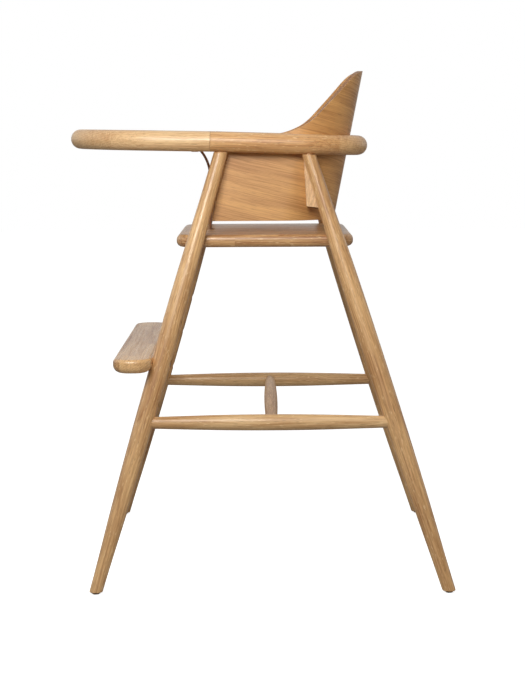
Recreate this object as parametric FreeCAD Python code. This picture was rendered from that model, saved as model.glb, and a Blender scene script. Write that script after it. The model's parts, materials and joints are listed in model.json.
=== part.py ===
import FreeCAD, Part
import math
import os
from FreeCAD import Placement, Rotation, Vector

# A wooden baby high chair, in millimetres. +Z is up, the child faces -Y, and the chair is symmetric in X.
# The origin is on the floor, under the middle of the whole chair.

X_AXIS = Vector(1, 0, 0)
Y_AXIS = Vector(0, 1, 0)
Z_AXIS = Vector(0, 0, 1)
SIDES = {"left": 1, "right": -1}
REACH = 400.0                      # longer than any piece is wide, for cutting tools

# Legs: turned spindles on straight, splayed axes
GLIDE_THICKNESS = 3.0
GLIDE_RADIUS = 6.0
GLIDE_ROUND = 0.8
LEG_TOP_Z = 690.0
LEG_FOOT_X = 273.5
LEG_TOP_X = 148.5
LEG_FOOT_Y = {"front": -258.2, "rear": 302.2}
LEG_TOP_Y = {"front": -58.3, "rear": 83.7}
LEG_TOP_ROUND = 2.0
LEG_FOOT_ROUND = 1.2
LEG_PROFILE = ((-0.05, 9.6), (0.0, 10.2), (0.08, 11.4), (0.16, 13.0), (0.25, 14.3), (0.35, 15.2),
               (0.5, 15.7), (0.64, 15.5), (0.77, 14.2), (0.86, 12.4), (0.93, 11.3), (1.0, 10.9),
               (1.05, 10.9))       # share of the length, radius
TOP_DOWEL_RADIUS = 5.0
TOP_DOWEL_IN_LEG = 20.0
TOP_DOWEL_IN_ARM = 9.0

# Round rail: arms and back bow in one plane, tray rim in a flatter one
RAIL_RADIUS = 16.0
RAIL_X = 148.0
TRAY_JOINT_Y = -74.6
RAIL_Z = 709.7                     # rail centre at the joint between the tray and the arms
ARM_SLOPE = math.degrees(math.atan(0.032))
TRAY_SLOPE = math.degrees(math.atan(0.020))
TRAY_GAP = 0.4
BACK_Y = 168.0
BACK_CORNER = 100.0
BOW_JOINT_Y = 134.0
FRONT_Y = -296.5
FRONT_CORNER = 140.0
FRONT_JOINT_Y = -233.5
RAIL_DOWEL_RADIUS = 4.0
RAIL_DOWEL_HALF = 15.0
TRAY_RAIL_DOWEL_LENGTH = 24.0

# Tray inside its rim
TRAY_RAIL_Y = -105.0
TRAY_RAIL_RADIUS = 12.7
PANEL_THICKNESS = 8.0
PANEL_DROP = 2.0                   # panel's middle below the rim's middle
PANEL_GROOVE = 6.0
PIN_RADIUS = 3.0
PIN_IN_TRAY = 30.0
PIN_IN_ARM = 34.0
PIN_CHAMFER = 1.0
BUSH_RADIUS = 4.5
BUSH_LENGTH = 38.0
BUSH_CLEARANCE = 0.05

# Bent plywood shell
SHELL_THICKNESS = 9.0
SHELL_BOTTOM = 582.0
SHELL_TOP = 834.0
SHELL_HALF = 143.5                 # half width at the bottom
SHELL_TAPER = 0.0965               # half width lost per mm of height
SHELL_BACK = 128.3                 # back face at the bottom
SHELL_LEAN = 0.2015                # backward lean per mm of height
SHELL_CORNER = 88.0
SHELL_FRONT = ((-73.0, 581.0), (-46.5, 696.0))
SHELL_EDGE = ((-120.0, 712.0), (-40.0, 716.2), (20.0, 719.5), (53.2, 724.2), (74.9, 734.0), (91.1, 744.9),
              (107.5, 761.0), (127.6, 781.2), (138.9, 793.0), (150.1, 805.0), (161.7, 816.3),
              (170.0, 821.4), (175.3, 823.4))          # y and z of the top edge, on the outer face
SHELL_PEAK = 824.2                 # top edge across the back
SHELL_CUT_INSIDE = 30.0            # how far the top edge's cutting tool reaches in and out of the outer face
SHELL_CUT_OUTSIDE = 8.0

# Wedge-shaped spacers between the shell and the rear legs: side outline
SPACER_OUTLINE = ((75.5, 690.0), (80.3, 606.0), (110.0, 602.5), (94.0, 690.0))
SPACER_INSET = 4.0                 # outer face, inside the leg's own axis

# Seat board
SEAT_HALF = 159.5
SEAT_FRONT = -131.0
SEAT_BACK = 156.5
SEAT_TOP = 560.8
SEAT_THICKNESS = 20.6
SEAT_CORNER = 32.0
SEAT_ROUND = 9.0
SEAT_DOWEL_RADIUS = 4.0
SEAT_DOWEL_HALF = 17.0

# Footrest board and the three heights that it can be bolted at
FOOTREST_HALF = 259.0
FOOTREST_FRONT = -228.5
FOOTREST_BACK = -168.0
FOOTREST_Z = 360.2
FOOTREST_THICKNESS = 22.4
FOOTREST_CORNER = 26.0
FOOTREST_TOP_ROUND = 6.0
FOOTREST_LOWER_ROUND = 12.0
FOOTREST_CLEARANCE = 0.3
HEIGHT_STEP = 65.0
BOLT_RADIUS = 3.0
BOLT_HOLE = 3.3
BOLT_HEAD_RADIUS = 5.2
BOLT_HEAD_HEIGHT = 3.4
BOLT_SINK_RADIUS = 6.0
BOLT_SINK = 4.0                    # depth of the counterbore in the back of the leg
BOLT_TIP_Y = -192.0
INSERT_RADIUS = 4.5
INSERT_LENGTH = 16.0
INSERT_CLEARANCE = 0.05
INSERT_SINK = 4.0                  # below the middle of the board's back edge
BOLT_HEAD_ROUND = 1.2
SOCKET_RADIUS = 2.3
SOCKET_DEPTH = 2.0

# Stretchers
STRETCHER_Z = 266.0
STRETCHER_IN_LEG = 7.0             # from the leg's axis to the end of the spindle
STRETCHER_PROFILE = ((0.0, 9.4), (0.12, 10.6), (0.3, 12.3), (0.5, 13.0))
CROSS_Y = 22.0
CROSS_HALF = 219.5
CROSS_PROFILE = ((0.0, 8.8), (0.15, 9.9), (0.3, 10.9), (0.5, 11.4))

# Leather strap, its cross pin in the seat and its press stud
STRAP_Y = -79.5
STRAP_WIDTH = 24.0
STRAP_THICKNESS = 3.5
STRAP_PIN_Z = 553.0
STRAP_PIN_RADIUS = 2.0
STRAP_PIN_HALF = 20.0
STRAP_EYE_RADIUS = 5.2
STRAP_EYE_BORE = 2.08
STRAP_BEND_Z = 651.0
STRAP_BEND = 66.0
STRAP_LEAN = 38.0
STRAP_FOLD = 4.0
STRAP_END_Y = -117.5
STRAP_CLEARANCE = 0.35
SLOT_HALF = 13.5
SLOT_REACH = 6.6
SLOT_RAMP = 11.5
SLOT_RAMP_DEPTH = 6.0
SNAP_RADIUS = 6.5
SNAP_HEIGHT = 2.2
SNAP_ROUND = 1.5
SNAP_POST_RADIUS = 2.0
STUD_RADIUS = 4.0
STUD_HEIGHT = 8.0

# Countersunk wood screws
SCREW_RADIUS = 2.0
SCREW_HEAD_RADIUS = 4.0
SCREW_HEAD_HEIGHT = 3.0
ARM_SCREW_LENGTH = 22.0
ARM_SCREW_Y = (-25.0, 40.0)
BACK_SCREW_X = 34.0
SPACER_SCREW_Z = (628.0, 662.0)
SPACER_SCREW_IN_LEG = 5.0


def slab(x_range, y_range, z_range):
    size = [pair[1] - pair[0] for pair in (x_range, y_range, z_range)]
    return Part.makeBox(*size, Vector(x_range[0], y_range[0], z_range[0]))


def rod(start, direction, length, radius):
    return Part.makeCylinder(radius, length, start, direction)


def mirrored(shape):
    return shape.mirror(Vector(0, 0, 0), X_AXIS)


def group(shapes):
    return Part.makeCompound(shapes)


def prism(points, half):
    """A solid with the outline points = (y, z), reaching half to each side in X."""
    corners = [Vector(-half, y, z) for y, z in points]
    face = Part.Face(Part.makePolygon(corners + corners[:1]))
    return face.extrude(Vector(2 * half, 0, 0))


def along(start, direction):
    """The placement that carries +Z at the origin to direction at start."""
    return Placement(start, Rotation(Z_AXIS, direction))


def turned(profile, length, grow=0.0):
    """A spindle about +Z from its profile of (share of length, radius)."""
    points = [Vector(radius + grow, 0, share * length) for share, radius in profile]
    curve = Part.BSplineCurve()
    curve.interpolate(points)
    foot = Vector(0, 0, points[0].z)
    tip = Vector(0, 0, points[-1].z)
    edges = [Part.makeLine(foot, points[0]), curve.toShape(), Part.makeLine(points[-1], tip),
             Part.makeLine(tip, foot)]
    return Part.Face(Part.Wire(edges)).revolve(Vector(0, 0, 0), Z_AXIS, 360)


def whole_profile(half_profile):
    """A profile for the full length from one that runs to the middle."""
    back = [(1.0 - share, radius) for share, radius in reversed(half_profile[:-1])]
    return tuple(half_profile) + tuple(back)


def tilted(shape, slope):
    """Carries a shape drawn with the rail's centre at z = 0 to the rail's own sloping plane."""
    pivot = Vector(0, TRAY_JOINT_Y, 0)
    shape = shape.copy()
    shape.rotate(pivot, X_AXIS, -slope)
    shape.translate(Vector(0, 0, RAIL_Z))
    return shape


def rail_z(y, slope):
    return RAIL_Z - (y - TRAY_JOINT_Y) * math.tan(math.radians(slope))


# ---------------------------------------------------------------- legs

def leg_point(row, z, side=1):
    share = (z - GLIDE_THICKNESS) / (LEG_TOP_Z - GLIDE_THICKNESS)
    x = LEG_FOOT_X + (LEG_TOP_X - LEG_FOOT_X) * share
    y = LEG_FOOT_Y[row] + (LEG_TOP_Y[row] - LEG_FOOT_Y[row]) * share
    return Vector(side * x, y, z)


def leg_direction(row, side=1):
    return (leg_point(row, LEG_TOP_Z, side) - leg_point(row, GLIDE_THICKNESS, side)).normalize()


def above_legs():
    """Everything above the plane that the arms' undersides touch."""
    return tilted(slab((-REACH, REACH), (-REACH, REACH), (-RAIL_RADIUS, REACH)), ARM_SLOPE)


def leg_blank(row, grow=0.0):
    """The left leg of a row, before its joints: spindle, level foot and a top that meets the arm."""
    foot = leg_point(row, GLIDE_THICKNESS)
    length = (leg_point(row, LEG_TOP_Z) - foot).Length
    blank = turned(LEG_PROFILE, length, grow)
    blank.Placement = along(foot, leg_direction(row))
    floor = slab((-REACH, REACH), (-REACH, REACH), (-REACH, GLIDE_THICKNESS))
    blank = blank.cut(floor).cut(above_legs())
    top = [edge for edge in blank.Edges if edge.BoundBox.ZMin > LEG_TOP_Z - 4 * LEG_TOP_ROUND]
    foot = [edge for edge in blank.Edges if edge.BoundBox.ZMax < GLIDE_THICKNESS + 1]
    return blank.makeFillet(LEG_TOP_ROUND, top).makeFillet(LEG_FOOT_ROUND, foot)


def leg_top_dowel(row):
    middle_z = rail_z(LEG_TOP_Y[row], ARM_SLOPE) - RAIL_RADIUS
    middle = leg_point(row, middle_z)
    direction = leg_direction(row)
    length = TOP_DOWEL_IN_LEG + TOP_DOWEL_IN_ARM
    return rod(middle - direction * TOP_DOWEL_IN_LEG, direction, length, TOP_DOWEL_RADIUS)


def seat_dowel(row):
    middle = leg_point(row, SEAT_TOP - SEAT_THICKNESS / 2)
    start = Vector(SEAT_HALF - SEAT_DOWEL_HALF, middle.y, middle.z)
    return rod(start, X_AXIS, 2 * SEAT_DOWEL_HALF, SEAT_DOWEL_RADIUS)


def glide(row):
    foot = leg_point(row, GLIDE_THICKNESS)
    disc = rod(Vector(foot.x, foot.y, 0), Z_AXIS, GLIDE_THICKNESS, GLIDE_RADIUS)
    lower_edge = [edge for edge in disc.Edges if edge.BoundBox.ZMax < GLIDE_THICKNESS / 2]
    return disc.makeFillet(GLIDE_ROUND, lower_edge)


# ---------------------------------------------------------------- footrest

def leg_bolt_hole(z):
    """A hole along Y through the left front leg, counterbored from behind."""
    middle = leg_point("front", z)
    back = leg_back(z)
    hole = rod(Vector(middle.x, FOOTREST_FRONT, z), Y_AXIS, back - FOOTREST_FRONT + BOLT_SINK, BOLT_HOLE)
    sink = rod(Vector(middle.x, back - BOLT_SINK, z), Y_AXIS, 4 * BOLT_SINK, BOLT_SINK_RADIUS)
    return hole.fuse(sink)


def leg_back(z):
    """Where the leg's back face crosses the bolt's axis."""
    widest = max(radius for share, radius in LEG_PROFILE)
    return leg_point("front", z).y + widest


def footrest_bolt():
    z = FOOTREST_Z
    x = leg_point("front", z).x
    seat = leg_back(z) - BOLT_SINK
    shank = rod(Vector(x, BOLT_TIP_Y, z), Y_AXIS, seat - BOLT_TIP_Y, BOLT_RADIUS)
    head = rod(Vector(x, seat, z), Y_AXIS, BOLT_HEAD_HEIGHT, BOLT_HEAD_RADIUS)
    rim = [edge for edge in head.Edges if edge.BoundBox.YMin > seat + BOLT_HEAD_HEIGHT / 2]
    head = head.makeFillet(BOLT_HEAD_ROUND, rim)
    socket = Part.Face(Part.makePolygon(hexagon(x, seat + BOLT_HEAD_HEIGHT, z, SOCKET_RADIUS)))
    return head.fuse(shank).cut(socket.extrude(Y_AXIS * -SOCKET_DEPTH))


def hexagon(x, y, z, radius):
    turns = [math.radians(60 * k) for k in range(7)]
    return [Vector(x + radius * math.cos(a), y, z + radius * math.sin(a)) for a in turns]


def footrest_insert():
    x = leg_point("front", FOOTREST_Z).x
    mouth = FOOTREST_BACK - INSERT_SINK
    start = Vector(x, mouth - INSERT_LENGTH, FOOTREST_Z)
    outside = rod(start, Y_AXIS, INSERT_LENGTH, INSERT_RADIUS)
    bore = rod(start, Y_AXIS, INSERT_LENGTH, BOLT_RADIUS + INSERT_CLEARANCE)
    return outside.cut(bore)


def footrest_bore():
    """Room for the insert and for the bolt's tip in the board's back edge."""
    x = leg_point("front", FOOTREST_Z).x
    mouth = FOOTREST_BACK - INSERT_SINK
    insert = rod(Vector(x, mouth - INSERT_LENGTH, FOOTREST_Z), Y_AXIS, REACH, INSERT_RADIUS)
    tip = rod(Vector(x, BOLT_TIP_Y - BOLT_RADIUS, FOOTREST_Z), Y_AXIS, INSERT_LENGTH, BOLT_HOLE)
    return insert.fuse(tip)


def rounded_board(half, front, back, low, high, corner):
    """A board with its four upright corners rounded."""
    board = slab((-half, half), (front, back), (low, high))
    upright = [edge for edge in board.Edges if edge.BoundBox.ZLength > (high - low) / 2]
    return board.makeFillet(corner, upright)


def level_edges(board, z):
    at_height = [edge for edge in board.Edges if abs(edge.BoundBox.ZMin - z) < 0.01]
    return [edge for edge in at_height if edge.BoundBox.ZLength < 0.01]


def footrest_board():
    low = FOOTREST_Z - FOOTREST_THICKNESS / 2
    high = FOOTREST_Z + FOOTREST_THICKNESS / 2
    board = rounded_board(FOOTREST_HALF, FOOTREST_FRONT, FOOTREST_BACK, low, high, FOOTREST_CORNER)
    board = board.makeFillet(FOOTREST_LOWER_ROUND, level_edges(board, low))
    board = board.makeFillet(FOOTREST_TOP_ROUND, level_edges(board, high))
    leg = leg_blank("front", FOOTREST_CLEARANCE)
    bore = footrest_bore()
    for tool in (leg, mirrored(leg), bore, mirrored(bore)):
        board = board.cut(tool)
    return board


# ---------------------------------------------------------------- seat and strap

def seat_board(legs, dowels):
    low = SEAT_TOP - SEAT_THICKNESS
    board = rounded_board(SEAT_HALF, SEAT_FRONT, SEAT_BACK, low, SEAT_TOP, SEAT_CORNER)
    board = board.makeFillet(SEAT_ROUND, level_edges(board, low))
    board = board.makeFillet(SEAT_ROUND, level_edges(board, SEAT_TOP))
    slot_length = (STRAP_Y - SLOT_REACH, STRAP_Y + SLOT_REACH)
    slot = slab((-SLOT_HALF, SLOT_HALF), slot_length, (low - 1, SEAT_TOP + 1))
    ramp_foot = SEAT_TOP - SLOT_RAMP_DEPTH
    ramp = prism(((STRAP_Y, ramp_foot), (STRAP_Y - SLOT_REACH, ramp_foot),
                  (STRAP_Y - SLOT_REACH - SLOT_RAMP, SEAT_TOP), (STRAP_Y, SEAT_TOP)), SLOT_HALF)
    for tool in [slot, ramp, strap_pin()] + legs + dowels:
        board = board.cut(tool)
    return board


def strap_pin():
    return rod(Vector(-STRAP_PIN_HALF, STRAP_Y, STRAP_PIN_Z), X_AXIS, 2 * STRAP_PIN_HALF, STRAP_PIN_RADIUS)


def strap_end_z():
    """Middle of the strap's thickness under the tray's rear rail."""
    rail_underside = rail_z(TRAY_RAIL_Y, TRAY_SLOPE) - TRAY_RAIL_RADIUS
    return rail_underside - STRAP_CLEARANCE - STRAP_THICKNESS / 2


def strap_centre_line():
    """Edges in the plane x = 0: up from the pin, a gentle bend forward, a fold and a level end."""
    lean = math.radians(STRAP_LEAN)
    fold_rise = STRAP_FOLD * (1 - math.sin(lean))

    def bend_point(angle):
        y = STRAP_Y - STRAP_BEND * (1 - math.cos(angle))
        return Vector(0, y, STRAP_BEND_Z + STRAP_BEND * math.sin(angle))

    foot = Vector(0, STRAP_Y, STRAP_PIN_Z + (STRAP_EYE_BORE + STRAP_EYE_RADIUS) / 2)
    bent = bend_point(lean)
    rise = strap_end_z() - fold_rise - bent.z
    straight_end = bent + Vector(0, -rise * math.tan(lean), rise)
    centre = straight_end + Vector(0, -STRAP_FOLD * math.cos(lean), -STRAP_FOLD * math.sin(lean))

    def fold_point(angle):
        return centre + Vector(0, STRAP_FOLD * math.cos(angle), STRAP_FOLD * math.sin(angle))

    quarter = math.pi / 2
    level = fold_point(quarter)
    return [Part.makeLine(foot, bend_point(0)),
            Part.Arc(bend_point(0), bend_point(lean / 2), bent).toShape(),
            Part.makeLine(bent, straight_end),
            Part.Arc(straight_end, fold_point((lean + quarter) / 2), level).toShape(),
            Part.makeLine(level, Vector(0, STRAP_END_Y, level.z))]


def strap():
    edges = strap_centre_line()
    foot = edges[0].Vertexes[0].Point
    half_width = STRAP_WIDTH / 2
    half_thickness = STRAP_THICKNESS / 2
    corners = [foot + Vector(sx * half_width, sy * half_thickness, 0)
               for sx, sy in ((-1, -1), (1, -1), (1, 1), (-1, 1), (-1, -1))]
    band = Part.Wire(edges).makePipe(Part.Face(Part.makePolygon(corners)))
    start = Vector(-half_width, STRAP_Y, STRAP_PIN_Z)
    eye = rod(start, X_AXIS, STRAP_WIDTH, STRAP_EYE_RADIUS)
    bore = rod(start, X_AXIS, STRAP_WIDTH, STRAP_EYE_BORE)
    post = snap_post(SNAP_POST_RADIUS)
    return band.fuse(eye).cut(bore).cut(post).removeSplitter()


def snap_post(radius):
    z = strap_end_z()
    start = Vector(0, TRAY_RAIL_Y, z - STRAP_THICKNESS / 2)
    return rod(start, Z_AXIS, STRAP_THICKNESS, radius)


def strap_snap():
    """The cap under the strap's end with its post through the leather."""
    low = strap_end_z() - STRAP_THICKNESS / 2 - SNAP_HEIGHT
    cap = rod(Vector(0, TRAY_RAIL_Y, low), Z_AXIS, SNAP_HEIGHT, SNAP_RADIUS)
    rim = [edge for edge in cap.Edges if edge.BoundBox.ZMax < low + 0.01]
    return cap.makeFillet(SNAP_ROUND, rim).fuse(snap_post(SNAP_POST_RADIUS))


def tray_stud():
    top = -TRAY_RAIL_RADIUS + STUD_HEIGHT
    return tilted(rod(Vector(0, TRAY_RAIL_Y, top), Vector(0, 0, -1), STUD_HEIGHT, STUD_RADIUS), TRAY_SLOPE)


# ---------------------------------------------------------------- round rail, in its own flat frame

def quarter_rail(centre, radius, start_angle):
    """A quarter of a ring of rail about centre, from start_angle on, in degrees."""
    ring = Part.makeTorus(radius, RAIL_RADIUS, Vector(0, 0, 0), Z_AXIS, 0, 360, 90)
    ring.rotate(Vector(0, 0, 0), Z_AXIS, start_angle)
    ring.translate(centre)
    return ring


def u_rail(open_y, bend_y, corner):
    """A U of round rail: two straight sides from open_y, two corners, and a cross piece at bend_y."""
    way = 1 if bend_y > open_y else -1
    centre_y = bend_y - way * corner
    centre_x = RAIL_X - corner
    side = rod(Vector(RAIL_X, open_y, 0), Y_AXIS * way, abs(centre_y - open_y), RAIL_RADIUS)
    bend = quarter_rail(Vector(centre_x, centre_y, 0), corner, 0 if way > 0 else -90)
    cross = rod(Vector(-centre_x, bend_y, 0), X_AXIS, 2 * centre_x, RAIL_RADIUS)
    return cross.multiFuse([side, bend, mirrored(side), mirrored(bend)]).removeSplitter()


def part_between(shape, x_range, y_range):
    return shape.common(slab(x_range, y_range, (-REACH, REACH)))


def bend_dowel(joint_y, bend_y, corner):
    """A dowel along the rail where a joint crosses one of its corners, on the left."""
    way = 1 if bend_y > joint_y else -1
    centre_x = RAIL_X - corner
    centre_y = bend_y - way * corner
    sine = (joint_y - centre_y) / corner
    cosine = math.sqrt(1 - sine * sine)
    middle = Vector(centre_x + corner * cosine, joint_y, 0)
    direction = Vector(-sine, cosine, 0)
    return rod(middle - direction * RAIL_DOWEL_HALF, direction, 2 * RAIL_DOWEL_HALF, RAIL_DOWEL_RADIUS)


def tray_pin():
    start = Vector(RAIL_X, TRAY_JOINT_Y - PIN_IN_TRAY, 0)
    pin = rod(start, Y_AXIS, PIN_IN_TRAY + PIN_IN_ARM, PIN_RADIUS)
    tip = [edge for edge in pin.Edges if edge.BoundBox.YMin > TRAY_JOINT_Y]
    return pin.makeChamfer(PIN_CHAMFER, tip)


def bush_start():
    return Vector(RAIL_X, TRAY_JOINT_Y + TRAY_GAP, 0)


def tray_bush():
    outside = rod(bush_start(), Y_AXIS, BUSH_LENGTH, BUSH_RADIUS)
    return outside.cut(rod(bush_start(), Y_AXIS, BUSH_LENGTH, PIN_RADIUS + BUSH_CLEARANCE))


def bush_bore():
    return rod(bush_start() - Y_AXIS * 2, Y_AXIS, BUSH_LENGTH + 2, BUSH_RADIUS)


def rail_dowel():
    """Between the tray's rear rail and its left side piece."""
    start = Vector(RAIL_X - RAIL_RADIUS - RAIL_DOWEL_HALF, TRAY_RAIL_Y, 0)
    return rod(start, X_AXIS, TRAY_RAIL_DOWEL_LENGTH, RAIL_DOWEL_RADIUS)


def tray_panel():
    """A D-shaped board whose edge sits in a groove all round the rim."""
    grow = PANEL_GROOVE - RAIL_RADIUS
    half = RAIL_X + grow
    radius = FRONT_CORNER + grow
    centre_x = RAIL_X - FRONT_CORNER
    centre_y = FRONT_Y + FRONT_CORNER
    low = -PANEL_DROP - PANEL_THICKNESS / 2
    back_y = TRAY_RAIL_Y - TRAY_RAIL_RADIUS + PANEL_GROOVE

    def round_point(side, angle):
        return Vector(side * (centre_x + radius * math.cos(angle)), centre_y - radius * math.sin(angle), low)

    def arc(side, angles):
        return Part.Arc(*[round_point(side, math.radians(a)) for a in angles]).toShape()

    left_back = Vector(half, back_y, low)
    right_back = Vector(-half, back_y, low)
    edges = [Part.makeLine(left_back, round_point(1, 0)), arc(1, (0, 45, 90)),
             Part.makeLine(round_point(1, math.pi / 2), round_point(-1, math.pi / 2)), arc(-1, (90, 45, 0)),
             Part.makeLine(round_point(-1, 0), right_back), Part.makeLine(right_back, left_back)]
    return Part.Face(Part.Wire(edges)).extrude(Vector(0, 0, PANEL_THICKNESS))


def tray_rear_rail(sides):
    rail = rod(Vector(-RAIL_X, TRAY_RAIL_Y, 0), X_AXIS, 2 * RAIL_X, TRAY_RAIL_RADIUS)
    for side in sides:
        rail = rail.cut(side)
    return rail


# ---------------------------------------------------------------- bent shell

def shell_corner_centre(z):
    rise = z - SHELL_BOTTOM
    half = SHELL_HALF - SHELL_TAPER * rise
    back = SHELL_BACK + SHELL_LEAN * rise
    return Vector(half - SHELL_CORNER, back - SHELL_CORNER, z)


def shell_section(z, inset, front):
    """The shell's U outline at a height, closed across the open front."""
    centre = shell_corner_centre(z)
    radius = SHELL_CORNER - inset
    slant = math.sqrt(0.5) * radius
    left_front = Vector(centre.x + radius, front, z)
    left_side = Vector(centre.x + radius, centre.y, z)
    left_bend = Vector(centre.x + slant, centre.y + slant, z)
    left_back = Vector(centre.x, centre.y + radius, z)
    right = [Vector(-p.x, p.y, p.z) for p in (left_front, left_side, left_bend, left_back)]
    edges = [Part.makeLine(left_front, left_side), Part.Arc(left_side, left_bend, left_back).toShape(),
             Part.makeLine(left_back, right[3]), Part.Arc(right[3], right[2], right[1]).toShape(),
             Part.makeLine(right[1], right[0]), Part.makeLine(right[0], left_front)]
    return Part.Wire(edges)


def shell_block(inset, spare=0.0):
    """The whole volume inside the shell's outer face, or inside its inner face with an inset."""
    front = SHELL_EDGE[0][0] - spare
    low = shell_section(SHELL_BOTTOM - spare, inset, front)
    high = shell_section(SHELL_TOP + spare, inset, front)
    return Part.makeLoft([low, high], True, True)


def shell_station(y, z):
    """Where the shell's outer face has this y and z on the left, and the way it faces there."""
    centre = shell_corner_centre(z)
    sine = min(1.0, max(0.0, (y - centre.y) / SHELL_CORNER))
    facing = Vector(math.sqrt(1 - sine * sine), sine, 0)
    return Vector(centre.x + SHELL_CORNER * facing.x, y, z), facing


def shell_top_tool():
    """Everything above the shell's S-shaped top edge, which is cut square to its faces."""
    left = [shell_station(y, z) for y, z in SHELL_EDGE]
    corner = shell_corner_centre(SHELL_PEAK)
    for share in (1.0, 0.5):
        left.append((Vector(share * corner.x, corner.y + SHELL_CORNER, SHELL_PEAK), Y_AXIS))
    middle = [(Vector(0, corner.y + SHELL_CORNER, SHELL_PEAK), Y_AXIS)]
    right = [(Vector(-p.x, p.y, p.z), Vector(-facing.x, facing.y, 0)) for p, facing in reversed(left)]
    borders = []
    for reach in (-SHELL_CUT_INSIDE, SHELL_CUT_OUTSIDE):
        curve = Part.BSplineCurve()
        curve.interpolate([p + facing * reach for p, facing in left + middle + right])
        borders.append(curve.toShape())
    return Part.makeRuledSurface(*borders).extrude(Z_AXIS * REACH)


def shell_front_tool():
    """Everything in front of the shell's front edges, which run parallel to the front legs."""
    (low_y, low_z), (high_y, high_z) = SHELL_FRONT
    run = (high_y - low_y) / (high_z - low_z)
    roof = 2 * SHELL_TOP
    slope = ((low_y - run * low_z, 0), (low_y + run * (roof - low_z), roof))
    return prism(slope + ((-REACH, roof), (-REACH, 0)), REACH)


def back_shell():
    shell = shell_block(0).cut(shell_block(SHELL_THICKNESS, 1.0))
    return shell.cut(shell_front_tool()).cut(shell_top_tool())


def spacer_block(leg):
    reach = slab((0, REACH), (-REACH, REACH), (0, 2 * REACH))
    block = prism(SPACER_OUTLINE, REACH).common(reach)
    direction = leg_direction("rear")
    foot = leg_point("rear", GLIDE_THICKNESS) - Vector(SPACER_INSET, 0, 0)
    outer_normal = direction.cross(Y_AXIS).normalize() * -1
    outside = Part.makeBox(REACH, 2 * REACH, 4 * REACH)
    outside.Placement = Placement(foot - Y_AXIS * REACH, Rotation(outer_normal, Y_AXIS, direction, "ZXY"))
    return block.cut(outside).cut(shell_block(0)).cut(leg).cut(above_legs())


# ---------------------------------------------------------------- screws

def screw(start, direction, length):
    """A countersunk screw whose head lies flush at start."""
    head = Part.makeCone(SCREW_HEAD_RADIUS, SCREW_RADIUS, SCREW_HEAD_HEIGHT, start, direction)
    neck = start + direction * SCREW_HEAD_HEIGHT
    return head.fuse(rod(neck, direction, length - SCREW_HEAD_HEIGHT, SCREW_RADIUS))


def arm_screw(y):
    z = rail_z(y, ARM_SLOPE)
    inner_x = shell_corner_centre(z).x + SHELL_CORNER - SHELL_THICKNESS
    return screw(Vector(inner_x, y, z), X_AXIS, ARM_SCREW_LENGTH)


def back_screw():
    z = rail_z(BACK_Y, ARM_SLOPE)
    inner_y = shell_corner_centre(z).y + SHELL_CORNER - SHELL_THICKNESS
    return screw(Vector(BACK_SCREW_X, inner_y, z), Y_AXIS, ARM_SCREW_LENGTH)


def spacer_screw(z):
    """Square to the shell's round corner, through the spacer and into the leg's axis."""
    centre = shell_corner_centre(z)
    aim = leg_point("rear", z) - centre
    direction = Vector(aim).normalize()
    inner_radius = SHELL_CORNER - SHELL_THICKNESS
    length = aim.Length - inner_radius + SPACER_SCREW_IN_LEG
    return screw(centre + direction * inner_radius, direction, length)


# ---------------------------------------------------------------- stretchers

def side_stretcher():
    start = leg_point("front", STRETCHER_Z) + Y_AXIS * STRETCHER_IN_LEG
    end = leg_point("rear", STRETCHER_Z) - Y_AXIS * STRETCHER_IN_LEG
    spindle = turned(whole_profile(STRETCHER_PROFILE), (end - start).Length)
    spindle.Placement = along(start, Y_AXIS)
    return spindle


def cross_stretcher():
    spindle = turned(whole_profile(CROSS_PROFILE), 2 * CROSS_HALF)
    spindle.Placement = along(Vector(-CROSS_HALF, CROSS_Y, STRETCHER_Z), X_AXIS)
    return spindle


# ---------------------------------------------------------------- the whole chair

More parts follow.
